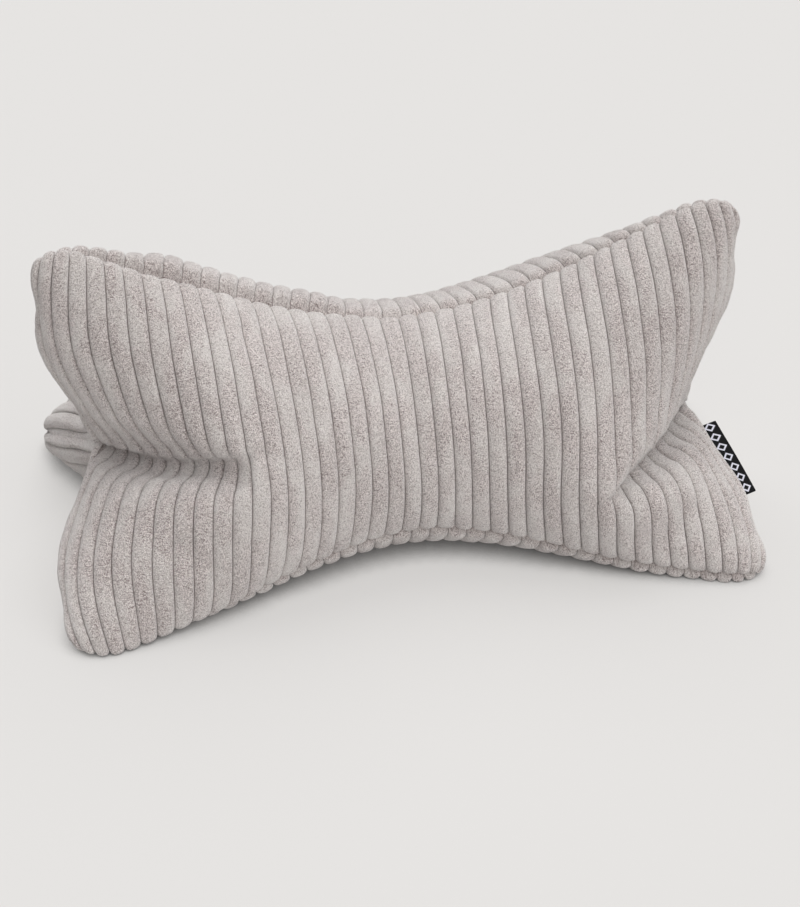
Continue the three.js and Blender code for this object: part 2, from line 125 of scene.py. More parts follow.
@dataclass(frozen=True)
class PanelCut:
    """A panel as cut, in millimetres: wales run across it from one long seam to the other."""

    wale_count: int = 42
    wale_pitch: float = 10.96
    waist_half_width: float = 78.0
    end_half_width: float = 156.0
    flare_power: float = 1.45
    corner_reach: float = 50.0
    corner_cut: float = 34.0
    end_dip: float = 2.0
    tip_set_back: float = 22.0
    fullest_share: float = 0.42
    end_curve_power: float = 4.0

    @property
    def length(self) -> float:
        """Length of the cut."""
        return self.wale_count * self.wale_pitch

    @property
    def half_length(self) -> float:
        """Half the length of the cut."""
        return self.length / 2

    def half_width(self, along: np.ndarray) -> np.ndarray:
        """Half width of the cut, with its corners rounded.

        Args:
            along: Distances from the middle of the panel.

        Returns:
            The half width at each distance.
        """
        share = np.abs(along) / self.half_length
        flare = self.end_half_width - self.waist_half_width
        flared = self.waist_half_width + flare * share ** self.flare_power
        into_corner = np.maximum(0.0, 1 - (self.half_length - np.abs(along)) / self.corner_reach)
        return flared - self.corner_cut * (1 - np.sqrt(np.maximum(0.0, 1 - into_corner ** 2)))

    def end_set_back(self, share: np.ndarray) -> np.ndarray:
        """How far an end edge is cut back.

        Args:
            share: Shares of the half width.

        Returns:
            The set-back at each share.
        """
        to_tip = (share - self.fullest_share) / (1 - self.fullest_share)
        dip = self.end_dip * np.maximum(0.0, 1 - share / self.fullest_share) ** 2
        return dip + self.tip_set_back * np.maximum(0.0, to_tip) ** 2

    def lines(self, cells_along: int, cells_across: int) -> tuple[np.ndarray, np.ndarray]:
        """Lines of an even grid over the panel.

        Args:
            cells_along: Cells along the panel.
            cells_across: Cells from seam to seam.

        Returns:
            Distances from the middle of the panel, and shares of the half width.
        """
        along = (np.arange(cells_along + 1) / cells_along - 0.5) * self.length
        return along, np.arange(cells_across + 1) / (cells_across / 2) - 1

    def spot(self, along: np.ndarray, share: np.ndarray) -> np.ndarray:
        """Places on the flat panel, from distances along it and shares of its half width."""
        return np.stack([along, share * self.half_width(along)], axis=-1)

    def flat(self, cells_along: int, cells_across: int) -> np.ndarray:
        """Places of a grid of points on the flat panel, with its ends cut back.

        Args:
            cells_along: Cells along the panel.
            cells_across: Cells from seam to seam.

        Returns:
            Two coordinates for each point, by column and row.
        """
        lines = self.lines(cells_along, cells_across)
        along, share = np.meshgrid(*lines, indexing="ij")
        bend = (np.abs(along) / self.half_length) ** self.end_curve_power
        places = self.spot(along, share)
        places[..., 0] -= np.sign(along) * self.end_set_back(np.abs(share)) * bend
        return places


@dataclass(frozen=True)
class Tie:
    """How firmly cloth keeps its length between points a few cells apart: shares taken back in one sweep."""

    along: int
    across: int
    groups: int
    stretch: float
    squeeze: float


CORDUROY_TIES = (
    Tie(along=1, across=0, groups=2, stretch=1.0, squeeze=0.15),
    Tie(along=0, across=1, groups=2, stretch=1.0, squeeze=0.6),
    Tie(along=1, across=1, groups=2, stretch=0.3, squeeze=0.05),
    Tie(along=1, across=-1, groups=2, stretch=0.3, squeeze=0.05),
    Tie(along=2, across=0, groups=3, stretch=0.0, squeeze=0.01),
    Tie(along=0, across=2, groups=3, stretch=0.0, squeeze=0.05),
)


@dataclass(frozen=True)
class Lump:
    """A lump of filling that pushes harder behind one place of a panel, in millimetres."""

    panel: Panel
    along: float
    across: float
    radius: float
    extra: float


PILLOW_LUMPS = (Lump(Panel.FRONT, along=160, across=12, radius=38, extra=1.2),)


@dataclass(frozen=True)
class Push:
    """A push that the soft pillow has kept, in millimetres."""

    middle: Triple
    reach: float
    move: Triple


PILLOW_PUSHES = (
    Push(middle=(-205, -95, 35), reach=60, move=(-7, -4, 0)),
    Push(middle=(207, -58, 42), reach=40, move=(-6, 0, 0)),
    Push(middle=(-158, 15, 208), reach=42, move=(0, 0, 5)),
    Push(middle=(-210, -30, 140), reach=45, move=(-3, 0, 0)),
    Push(middle=(-195, 95, 75), reach=40, move=(0, 0, 5)),
)


class Sewing:
    """The points of three panels that sewing makes one: two along a seam, three at the middle of an end."""

    def __init__(self, points_along: int, points_across: int) -> None:
        """Lists the sewn points.

        Args:
            points_along: Points along each panel.
            points_across: Points across each panel, an odd number.
        """
        number = np.arange(len(Panel) * points_along * points_across)
        grid = number.reshape(len(Panel), points_along, points_across)
        middle = points_across // 2
        first, second = [], []
        for panel in Panel:
            neighbour = (panel + 1) % len(Panel)
            first.append(grid[panel, :, -1])
            second.append(grid[neighbour, :, 0])
            for end in (0, -1):
                first.append(grid[panel, end, middle + 1:-1])
                second.append(grid[neighbour, end, middle - 1:0:-1])
        self.first = np.concatenate(first)
        self.second = np.concatenate(second)
        self.stars = grid[:, (0, -1), middle]

    def join(self, values: np.ndarray, total: bool = False) -> None:
        """Gives sewn points one value, their mean or their sum, in place.

        Args:
            values: Three numbers for each point, numbered as the sewing numbers them.
            total: Takes the sum rather than the mean.
        """
        pair = values[self.first] + values[self.second]
        star = values[self.stars].sum(axis=0)
        if not total:
            pair = pair / 2
            star = star / len(Panel)
        values[self.first] = pair
        values[self.second] = pair
        values[self.stars] = star


@dataclass
class Stuffing:
    """The sewn panels, filled and settled on the floor by a cloth simulation, in millimetres."""

    cut: PanelCut = field(default_factory=PanelCut)
    ties: tuple[Tie, ...] = CORDUROY_TIES
    lumps: tuple[Lump, ...] = PILLOW_LUMPS
    pushes: tuple[Push, ...] = PILLOW_PUSHES
    cells_along: int = 78
    cells_across: int = 24
    seam_angles: tuple[float, ...] = (210.0, 90.0, -30.0)
    panel_turn: float = -60.0
    start_lift: float = 80.0
    start_belly: float = 25.0
    start_taper: float = 6.0
    start_slack: float = 0.98
    steps: int = 300
    sweeps: int = 10
    push: float = 0.15
    weight: float = 0.024
    kept_speed: float = 0.9
    floor_grip: float = 0.3
    near_floor: float = 0.01
    left_lean: float = 30.0
    right_lean: float = 14.0
    top_rise: float = 6.0
    left_spread: float = 7.0
    right_spread: float = 1.0
    rear_spread: float = 3.0
    lean_height: float = 200.0
    lean_depth: float = 100.0
    sewing: Sewing = field(init=False)
    fullness: np.ndarray = field(init=False)

    def __post_init__(self) -> None:
        """Sets out the grid of the panels."""
        self.sewing = Sewing(self.cells_along + 1, self.cells_across + 1)
        flat = self.cut.flat(self.cells_along, self.cells_across)
        self.fullness = np.ones((len(Panel), *flat.shape[:2], 1))
        for lump in self.lumps:
            away = np.linalg.norm(flat - [lump.along, lump.across], axis=-1)
            self.fullness[lump.panel, ..., 0] += lump.extra * hump(away / lump.radius)

    def start(self) -> np.ndarray:
        """The unfilled panels as a thin star of three blades.

        Returns:
            Places by panel, column and row.
        """
        along, share = self.cut.lines(self.cells_along, self.cells_across)
        taper = 1 - (np.abs(along) / self.cut.half_length) ** self.start_taper
        reach = np.abs(share)[None, :] * self.cut.half_width(along)[:, None] * self.start_slack
        push = self.start_belly * (1 - np.abs(share))[None, :] * taper[:, None]
        points = np.zeros((len(Panel), len(along), len(share), 3))
        for panel in Panel:
            belly = math.radians(self.seam_angles[panel] + self.panel_turn)
            upper = self.seam_angles[(panel + 1) % len(Panel)]
            blade = np.radians(np.where(share > 0, upper, self.seam_angles[panel]))[None, :]
            points[panel, ..., 0] = along[:, None]
            points[panel, ..., 1] = reach * np.cos(blade) + push * math.cos(belly)
            points[panel, ..., 2] = reach * np.sin(blade) + push * math.sin(belly) + self.start_lift
        return points

    def tied(self, points: np.ndarray) -> list[tuple[np.ndarray, np.ndarray, np.ndarray, Tie]]:
        """Ties between points, in groups that share no point.

        Args:
            points: Places that the groups look into.

        Returns:
            Both ends, the cut lengths and the firmness of each group.
        """
        flat = self.cut.flat(self.cells_along, self.cells_across)
        groups = []
        for tie in self.ties:
            low = max(0, -tie.across)
            high = self.cells_across - max(0, tie.across) + 1
            for group in range(tie.groups):
                if tie.along:
                    over = slice(low + tie.across, high + tie.across)
                    near = (slice(group, self.cells_along + 1 - tie.along, tie.groups), slice(low, high))
                    far = (slice(group + tie.along, None, tie.groups), over)
                else:
                    near = (slice(None), slice(group, self.cells_across + 1 - tie.across, tie.groups))
                    far = (slice(None), slice(group + tie.across, None, tie.groups))
                rest = np.linalg.norm(flat[far] - flat[near], axis=-1)
                groups.append((points[:, near[0], near[1]], points[:, far[0], far[1]], rest, tie))
        return groups

    @staticmethod
    def tighten(groups: Iterable[tuple[np.ndarray, np.ndarray, np.ndarray, Tie]]) -> None:
        """Draws each tie towards its cut length, in place.

        Args:
            groups: Both ends, the cut lengths and the firmness of each group of ties.
        """
        for near, far, rest, tie in groups:
            gap = far - near
            length = np.sqrt(np.einsum("...i,...i->...", gap, gap))
            strain = (length - rest) / np.maximum(length, TINY)
            share = np.where(strain > 0, tie.stretch / 2, tie.squeeze / 2)
            move = (strain * share)[..., None] * gap
            near += move
            far -= move

    def filling_push(self, points: np.ndarray) -> np.ndarray:
        """Outward push of the filling on every point, from the area around it.

        Args:
            points: Places by panel, column and row.

        Returns:
            A push for each point.
        """
        rising = points[:, 1:, 1:] - points[:, :-1, :-1]
        falling = points[:, :-1, 1:] - points[:, 1:, :-1]
        # Half the cross product is a cell's area, and each of its four corners takes a quarter of that.
        area = np.cross(rising, falling) / 8
        push = np.zeros_like(points)
        for along in (slice(None, -1), slice(1, None)):
            for across in (slice(None, -1), slice(1, None)):
                push[:, along, across] += area
        push *= self.fullness
        self.sewing.join(push.reshape(-1, 3), total=True)
        return push

    def settle(self) -> np.ndarray:
        """Fills the sewn panels, lets them settle, and leans and spreads their soft knobs.

        Returns:
            Places by panel, column and row.
        """
        points = self.start()
        flat = points.reshape(-1, 3)
        groups = self.tied(points)
        speed = np.zeros_like(points)
        cut = self.cut
        cell = cut.length / self.cells_along * (cut.waist_half_width + cut.end_half_width) / self.cells_across
        for _ in range(self.steps):
            before = points.copy()
            points += self.kept_speed * speed + self.push / cell * self.filling_push(points)
            points[..., 2] -= self.weight
            for _ in range(self.sweeps):
                self.tighten(groups)
                self.sewing.join(flat)
                np.maximum(points[..., 2], 0.0, out=points[..., 2])
            grip = np.where(before[..., 2] <= self.near_floor, self.floor_grip, 1.0)
            speed = (points - before) * grip[..., None]
        out = points[..., 0] / points[..., 0].max()
        height = points[..., 2] / self.lean_height
        lean = np.where(out < 0, self.left_lean, self.right_lean)
        spread = np.where(out < 0, self.left_spread, self.right_spread)
        depth = points[..., 1] / self.lean_depth
        points[..., 0] += out * (spread * height ** 2 + self.rear_spread * depth)
        points[..., 1] -= lean * height ** 2 * out ** 2
        points[..., 2] -= self.top_rise * height * out
        return self.pushed(points)

    def pushed(self, points: np.ndarray) -> np.ndarray:
        """Moves the places that the pushes reach.

        Args:
            points: Places by panel, column and row.

        Returns:
            The places after the pushes.
        """
        moved = points.copy()
        for push in self.pushes:
            away = np.linalg.norm(points - push.middle, axis=-1)
            moved += hump(away / push.reach)[..., None] * np.array(push.move)
        return moved


class SmoothSheet:
    """The stuffed panels as smooth surfaces that can be read anywhere between their points."""

    def __init__(self, points: np.ndarray) -> None:
        """Carries the grid on straight past its edges.

        Args:
            points: Places by panel, column and row.
        """
        self.cells_along = points.shape[1] - 1
        self.cells_across = points.shape[2] - 1
        for axis in (1, 2):
            edge = points.take([0, -1], axis=axis)
            inner = points.take([1, -2], axis=axis)
            past = 2 * edge - inner
            points = np.concatenate([past.take([0], axis=axis), points, past.take([1], axis=axis)], axis=axis)
        self.points = points

    @staticmethod
    def curve_weights(part: np.ndarray) -> list[np.ndarray]:
        """Weights of four neighbours in a smooth curve.

        Args:
            part: Fractions of the way between the middle two.

        Returns:
            The four weights.
        """
        return [
            (-part + 2 * part ** 2 - part ** 3) / 2,
            (2 - 5 * part ** 2 + 3 * part ** 3) / 2,
            (part + 4 * part ** 2 - 3 * part ** 3) / 2,
            (part ** 3 - part ** 2) / 2,
        ]

    def place(self, panel: int, along: np.ndarray, across: np.ndarray) -> np.ndarray:
        """Places on a panel, or past its seams on the next one.

        Args:
            panel: The panel.
            along: Places along it, in cells.
            across: Places across it, in cells.

        Returns:
            A place for each pair.
        """
        along = np.clip(along, 0, self.cells_along)
        over = np.where(across < 0, -1, np.where(across > self.cells_across, 1, 0))
        panel = (panel + over) % len(Panel)
        across = np.clip(across - over * self.cells_across, 0, self.cells_across)
        column = np.minimum(np.floor(along), self.cells_along - 1).astype(int)
        row = np.minimum(np.floor(across), self.cells_across - 1).astype(int)
        found = 0.0
        for step_along, by_along in enumerate(self.curve_weights(along - column)):
            for step_across, by_across in enumerate(self.curve_weights(across - row)):
                near = self.points[panel, column + step_along, row + step_across]
                found = found + (by_along * by_across)[..., None] * near
        return found

    def directions(self, panel: int, along: np.ndarray, across: np.ndarray) -> np.ndarray:
        """Directions of a panel's surface.

        Args:
            panel: The panel.
            along: Places along it, in cells.
            across: Places across it, in cells.

        Returns:
            Three directions for each place: along the panel, up to its upper seam, and out of it.
        """
        forth = self.place(panel, along + 1, across) - self.place(panel, along - 1, across)
        up = self.place(panel, along, across + 1) - self.place(panel, along, across - 1)
        out = unit(np.cross(forth, up))
        return np.stack([unit(forth), np.cross(out, unit(forth)), out], axis=-2)


@dataclass(frozen=True)
class Tuck:
    """A fold that runs in from an end of a panel: its upper lip hangs over a valley with a lower wall.

    Lengths are in millimetres and shares are of the half width.
    """

    panel: Panel
    end: int
    from_share: float
    to_in: float
    to_share: float
    depth: float
    overhang: float
    draw: float
    bow: float = 0.0
    lip: float = 3.5
    lip_middle: float = 6.0
    lip_width: float = 9.0
    lip_reach: float = 11.0
    wall_width: float = 8.0
    draw_reach: float = 12.0
    hidden: float = 3.0
    fade_power: float = 0.6
    hang_power: float = 0.6

    def moves(self, cut: PanelCut, along: np.ndarray, share: np.ndarray) -> np.ndarray:
        """How the fold moves the cloth.

        Args:
            cut: The panel as cut.
            along: Distances from the middle of the panel.
            share: Shares of the half width.

        Returns:
            Three moves for each place: along the panel, up to its upper seam, and out of it.
        """
        start = cut.spot(self.end * cut.half_length, self.from_share)
        line = cut.spot(self.end * (cut.half_length - self.to_in), self.to_share) - start
        length = np.linalg.norm(line)
        upward = np.array([-line[1], line[0]]) / length * np.sign(line[0])
        offset = cut.spot(along, share) - start
        part = np.clip(offset @ line / length ** 2, 0.0, 1.0)
        # A parabola that reaches the whole bow at the middle of the line.
        bowed = self.bow * 4 * part * (1 - part)
        aside = offset @ upward - bowed
        on_end = np.where(self.end * along > 0, 1.0, 0.0)
        fade = on_end * (1 - part) ** self.fade_power
        hang = on_end * (1 - part) ** self.hang_power
        below = np.minimum(0.0, aside + self.hidden)
        above = np.maximum(0.0, aside)
        turned = smooth_step(-self.hidden, 0.0, aside)
        lip_out = self.lip * hump((above - self.lip_middle) / self.lip_width)
        wall_out = -self.depth * hump(below / self.wall_width)
        lip_slide = -self.overhang * np.exp(-above / self.lip_reach)
        wall_slide = self.draw * np.exp(below / self.draw_reach)
        out = fade * (turned * lip_out + (1 - turned) * wall_out)
        slide = hang * turned * lip_slide + fade * (1 - turned) * wall_slide
        return np.stack([slide * upward[0], slide * upward[1], out], axis=-1)


PILLOW_TUCKS = (
    Tuck(
        Panel.FRONT, end=-1, from_share=0.09, to_in=140, to_share=0.0, depth=11, overhang=3, draw=2, bow=-12,
        lip=2.5, wall_width=9.0, hidden=7.0, fade_power=0.75, hang_power=2.0,
    ),
    Tuck(Panel.FRONT, end=1, from_share=0.0, to_in=125, to_share=-0.58, depth=7, overhang=6, draw=6, bow=8),
    Tuck(Panel.REAR, end=-1, from_share=0.04, to_in=110, to_share=0.08, depth=7, overhang=3, draw=2),
    Tuck(Panel.REAR, end=1, from_share=-0.03, to_in=105, to_share=0.12, depth=7, overhang=3, draw=2),
)


@dataclass(frozen=True)
class Dent:
    """A soft dent in a panel along a short line, or a swell where its depth is below zero.

    Lengths are in millimetres and shares are of the half width.
    """

    panel: Panel
    from_along: float
    from_share: float
    to_along: float
    to_share: float
    depth: float
    width: float

    def moves(self, cut: PanelCut, along: np.ndarray, share: np.ndarray) -> np.ndarray:
        """How far the dent moves the cloth outwards.

        Args:
            cut: The panel as cut.
            along: Distances from the middle of the panel.
            share: Shares of the half width.

        Returns:
            One move for each place.
        """
        start = cut.spot(self.from_along, self.from_share)
        line = cut.spot(self.to_along, self.to_share) - start
        offset = cut.spot(along, share) - start
        part = np.clip(offset @ line / (line @ line), 0.0, 1.0)
        away = np.linalg.norm(offset - part[..., None] * line, axis=-1)
        return -self.depth * hump(away / self.width)


PILLOW_DENTS = (
    Dent(Panel.FRONT, from_along=-9, from_share=0.8, to_along=2, to_share=-0.2, depth=3.0, width=11),
    Dent(Panel.FRONT, from_along=28, from_share=0.35, to_along=30, to_share=0.1, depth=1.6, width=10),
    Dent(Panel.FRONT, from_along=-95, from_share=0.62, to_along=-70, to_share=0.1, depth=1.8, width=12),
    Dent(Panel.REAR, from_along=6, from_share=0.7, to_along=-4, to_share=-0.3, depth=2.5, width=12),
    Dent(Panel.REAR, from_along=-135, from_share=-0.88, to_along=-50, to_share=-0.86, depth=-4.5, width=15),
    Dent(Panel.REAR, from_along=-219, from_share=0.35, to_along=-219, to_share=0.75, depth=-2.6, width=10),
    Dent(Panel.UNDER, from_along=-219, from_share=-0.75, to_along=-219, to_share=-0.35, depth=-2.6, width=10),
)


@dataclass(frozen=True)
class SeamRoll:
    """How far a long seam is rolled over towards the panel before it, in millimetres, from left to right."""

    tip: float
    left: float
    waist: float
    right: float

    def at(self, out: np.ndarray) -> np.ndarray:
        """Roll at places along the seam, counted from -1 at its left end to 1 at its right end."""
        return np.interp(out, ROLL_PLACES, [self.tip, self.left, self.waist, self.waist, self.right])


ROLL_PLACES = (-0.92, -0.65, -0.1, 0.1, 0.85)

SEAM_ROLLS = {
    Panel.FRONT: SeamRoll(tip=4.0, left=4.0, waist=-5.5, right=-2.5),
    Panel.REAR: SeamRoll(tip=-3.0, left=7.0, waist=1.0, right=-1.0),
    Panel.UNDER: SeamRoll(tip=-3.0, left=-3.0, waist=0.0, right=3.0),
}


@dataclass
class CorduroySurface:
    """The finished outer surface of the three panels: tucked, ribbed with wales and drawn in at its seams."""

    stuffing: Stuffing = field(default_factory=Stuffing)
    tucks: tuple[Tuck, ...] = PILLOW_TUCKS
    dents: tuple[Dent, ...] = PILLOW_DENTS
    rolls: dict[Panel, SeamRoll] = field(default_factory=lambda: dict(SEAM_ROLLS))
    roll_reach: float = 26.0
    roll_fade: float = 40.0
    samples_per_wale: int = 9
    rows_to_seam: int = 44
    seam_rows: tuple[float, ...] = (0.0, 0.005, 0.012, 0.022, 0.034)
    row_power: float = 1.2
    inner_share: float = 0.95
    groove_gather: float = 1.5
    gather_share: float = 0.98
    wale_height: float = 2.9
    wale_power: float = 2.6
    wale_end_reach: float = 7.0
    wale_shift: tuple[float, ...] = (0.0, 2 / 3, 1 / 3)
    panel_gap: float = 40.0
    wander: float = 0.7
    wander_size: float = 38.0
    wander_seed: float = 3.7
    wander_fade: float = 25.0
    plump: float = 0.175
    plump_size: float = 9.0
    plump_seed: float = 11.3
    seam_sink: float = 3.0
    end_sink: float = 1.2
    seam_reach: float = 2.6
    rest_lift: float = 1.8
    waist_ease: float = 40.0
    waist_share: float = 0.7
    waist_step: float = 0.5
    waist_sweeps: int = 30

    def shares(self) -> np.ndarray:
        """Shares of the half width of the rows, closer together by the seams and about the middle line.

        Returns:
            The shares, from the lower seam at -1 to the upper one at 1.
        """
        inner_count = self.rows_to_seam - len(self.seam_rows)
        inner = self.inner_share * (np.arange(1, inner_count + 1) / inner_count) ** self.row_power
        upper = np.concatenate([inner, 1 - np.array(self.seam_rows[::-1])])
        return np.concatenate([-upper[::-1], [0.0], upper])

    def build(self) -> tuple[np.ndarray, np.ndarray]:
        """Works out the surface.

        Returns:
            Places in millimetres and wale coordinates, both by panel, column and row.
        """
        cut = self.stuffing.cut
        sheet = SmoothSheet(self.eased_waist(self.stuffing.settle()))
        columns = cut.wale_count * self.samples_per_wale
        share = self.shares()
        places, maps = [], []
        for panel in Panel:
            spots, wales = self.panel_surface(panel, sheet, columns, share)
            places.append(spots)
            maps.append(wales)
        surface = np.stack(places)
        Sewing(columns + 1, len(share)).join(surface.reshape(-1, 3))
        return surface, np.stack(maps)

    def eased_waist(self, points: np.ndarray) -> np.ndarray:
        """Smooths the pinch across the waist, between its seams.

        Args:
            points: Places of the stuffed panels by panel, column and row.

        Returns:
            The smoothed places.
        """
        along, share = self.stuffing.cut.lines(points.shape[1] - 1, points.shape[2] - 1)
        inside = smooth_step(1.0, self.waist_share, np.abs(share))
        amount = self.waist_step * hump(along / self.waist_ease)[:, None] * inside[None, :]
        points = points.copy()
        for _ in range(self.waist_sweeps):
            mean = (points[:, :-2] + points[:, 2:]) / 2
            points[:, 1:-1] += amount[None, 1:-1, :, None] * (mean - points[:, 1:-1])
        return points

    def panel_surface(
        self, panel: Panel, sheet: SmoothSheet, columns: int, share: np.ndarray
    ) -> tuple[np.ndarray, np.ndarray]:
        """Works out one panel's surface.

        Args:
            panel: The panel.
            sheet: The stuffed panels.
            columns: Columns of cells along the panel.
            share: Shares of the half width of the rows.

        Returns:
            Places in millimetres and wale coordinates, by column and row.
        """
        cut = self.stuffing.cut
        share = np.broadcast_to(share, (columns + 1, len(share)))
        count = np.arange(columns + 1) / self.samples_per_wale
        turned = count + self.wale_shift[panel]
        from_groove = turned - np.round(turned)
        gathered = np.sign(from_groove) * 0.5 * (2 * np.abs(from_groove)) ** self.groove_gather
        gather = (gathered - from_groove)[:, None] * smooth_step(1.0, self.gather_share, np.abs(share))
        gather[[0, -1]] = 0.0
        wale = count[:, None] + gather
        along = (wale / cut.wale_count - 0.5) * cut.length
        to_seam = (1 - np.abs(share)) * cut.half_width(along)
        to_end = cut.half_length - np.abs(along)
        to_edge = np.minimum(to_seam, to_end)
        across = share * cut.half_width(along)
        on_cloth = np.stack([along, across, np.full_like(along, panel * self.panel_gap)], axis=-1)
        stray = self.wander * soft_noise(on_cloth, self.wander_size, self.wander_seed)
        stray = stray * smooth_step(0.0, self.wander_fade, to_end)
        cell_along = ((along + stray) / cut.length + 0.5) * sheet.cells_along
        cell_across = ((share + 1) / 2 - self.rolled(panel, along, share)) * sheet.cells_across
        spots = sheet.place(panel, cell_along, cell_across)
        ways = sheet.directions(panel, cell_along, cell_across)
        raised = self.wale_profile(wale + self.wale_shift[panel], to_edge)
        raised = raised * (1 + self.plump * soft_noise(on_cloth, self.plump_size, self.plump_seed))
        moves = np.zeros_like(spots)
        by_seam = self.seam_sink * hump(to_seam / self.seam_reach)
        by_end = self.end_sink * hump(to_end / self.seam_reach)
        moves[..., 2] = raised - np.maximum(by_seam, by_end)
        for tuck in self.tucks:
            if tuck.panel == panel:
                moves += tuck.moves(cut, along, share)
        for dent in self.dents:
            if dent.panel == panel:
                moves[..., 2] += dent.moves(cut, along, share)
        spots = spots + np.einsum("...i,...ij->...j", moves, ways)
        spots[..., 2] = np.maximum(0.0, spots[..., 2] + self.rest_lift)
        up_wale = across / cut.wale_pitch + panel * self.panel_gap
        return spots, np.stack([wale + self.wale_shift[panel], up_wale], axis=-1)

    def rolled(self, panel: Panel, along: np.ndarray, share: np.ndarray) -> np.ndarray:
        """How far the cloth by a panel's seams is rolled over, fading away from the seams and at the ends.

        Args:
            panel: The panel.
            along: Distances from the middle of the panel.
            share: Shares of the half width.

        Returns:
            Parts of the panel's width, positive towards the panel before.
        """
        cut = self.stuffing.cut
        half = cut.half_width(along)
        out = along / cut.half_length
        lower, upper = self.rolls[panel], self.rolls[Panel((panel + 1) % len(Panel))]
        by_lower = lower.at(out) * hump((1 + share) * half / self.roll_reach)
        by_upper = upper.at(out) * hump((1 - share) * half / self.roll_reach)
        fade = smooth_step(0.0, self.roll_fade, cut.half_length - np.abs(along))
        return (by_lower + by_upper) * fade / (2 * half)

    def wale_profile(self, wale: np.ndarray, to_edge: np.ndarray) -> np.ndarray:
        """Height of the wales: broad round tops with narrow grooves, rounded off where they end at a seam.

        Args:
            wale: Places across the wales, a whole number in each groove.
            to_edge: Distances to the nearest seam.

        Returns:
            Heights above the bottom of the grooves.
        """
        side = np.abs(2 * (wale - np.floor(wale)) - 1)
        ended = np.clip(1 - to_edge / self.wale_end_reach, 0.0, 1.0)
        return self.wale_height * np.sqrt(np.maximum(0.0, 1 - side ** self.wale_power - ended ** 2))


class Wire:
    """An output of a shader node that arithmetic can be written with."""

    def __init__(self, graph: "ShaderGraph", socket: bpy.types.NodeSocket) -> None:
        """Holds the output.

        Args:
            graph: The node tree that it is in.
            socket: The output.
        """
        self.graph = graph
        self.socket = socket

    def math(self, operation: str, *values: Union["Wire", Number]) -> "Wire":
        """A Math node for an operation on values."""
        return self.graph.node("ShaderNodeMath", {"operation": operation}, dict(enumerate(values)))

    def __add__(self, other: Union["Wire", Number]) -> "Wire":
        """Sum."""
        return self.math("ADD", self, other)

    def __radd__(self, other: Number) -> "Wire":
        """Sum, with the number first."""
        return self.math("ADD", other, self)

    def __sub__(self, other: Union["Wire", Number]) -> "Wire":
        """Difference."""
        return self.math("SUBTRACT", self, other)

    def __rsub__(self, other: Number) -> "Wire":
        """Difference, with the number first."""
        return self.math("SUBTRACT", other, self)

    def __mul__(self, other: Union["Wire", Number]) -> "Wire":
        """Product."""
        return self.math("MULTIPLY", self, other)

    def __rmul__(self, other: Number) -> "Wire":
        """Product, with the number first."""
        return self.math("MULTIPLY", other, self)

    def __abs__(self) -> "Wire":
        """Size without its sign."""
        return self.math("ABSOLUTE", self)

    def fraction(self) -> "Wire":
        """What is left after the whole number."""
        return self.math("FRACT", self)

    def eased(self, low: float, high: float) -> "Wire":
        """Eases from 0 to 1 as the value goes from low to high."""
        inputs = {"Value": self, "From Min": low, "From Max": high}
        return self.graph.node("ShaderNodeMapRange", {"interpolation_type": "SMOOTHSTEP"}, inputs)


class ShaderGraph:
    """The node tree of one material."""

    def __init__(self, name: str) -> None:
        """Starts a material with an empty tree.

        Args:
            name: Name of the material.
        """
        self.material = bpy.data.materials.new(name)
        self.material.use_nodes = True
        self.tree = self.material.node_tree
        self.tree.nodes.clear()

    def node(
        self,
        kind: str,
        settings: dict[str, Any] | None = None,
        inputs: dict[Union[str, int], Any] | None = None,
        output: Union[str, int] = 0,
    ) -> Wire:
        """Adds a node.

        Args:
            kind: The node's type.
            settings: Its own settings, set before its sockets.
            inputs: Values or wires for its sockets, by name or number.
            output: The output that is given back.

        Returns:
            The output as a wire.
        """
        made = self.tree.nodes.new(kind)
        for name, value in (settings or {}).items():
            setattr(made, name, value)
        for name, value in (inputs or {}).items():
            if isinstance(value, Wire):
                self.tree.links.new(value.socket, made.inputs[name])
            else:
                made.inputs[name].default_value = value
        return Wire(self, made.outputs[output])

    def noise(
        self, where: Wire, scale: float, detail: float, roughness: float, distortion: float = 0.0
    ) -> Wire:
        """Adds noise.

        Args:
            where: Coordinates that it reads.
            scale: Its scale.
            detail: Its octaves.
            roughness: How strong the finer ones are.
            distortion: How far it is stirred.

        Returns:
            Its value, about a half.
        """
        inputs = {"Scale": scale, "Detail": detail, "Roughness": roughness, "Distortion": distortion}
        return self.node("ShaderNodeTexNoise", {"noise_dimensions": "3D"}, {"Vector": where, **inputs})

    def mixed(self, share: Wire, first: Any, second: Any) -> Wire:
        """Mixes two colours by a share."""
        return self.node("ShaderNodeMix", {"data_type": "RGBA"}, {0: share, 6: first, 7: second}, output=2)

    def bumped(self, height: Wire, distance: float, strength: float) -> Wire:
        """Turns a height into a normal.

        Args:
            height: The height.
            distance: How far a height of 1 stands out, in metres.
            strength: How strongly it shades.

        Returns:
            The normal.
        """
        inputs = {"Strength": strength, "Distance": distance, "Height": height}
        return self.node("ShaderNodeBump", {}, inputs, output="Normal")

    def surface(self, inputs: dict[str, Any]) -> bpy.types.Material:
        """Ends the tree in a surface.

        Args:
            inputs: Values or wires for the surface's sockets.

        Returns:
            The material.
        """
        shader = self.node("ShaderNodeBsdfPrincipled", {}, inputs)
        end = self.tree.nodes.new("ShaderNodeOutputMaterial")
        self.tree.links.new(shader.socket, end.inputs["Surface"])
        return self.material


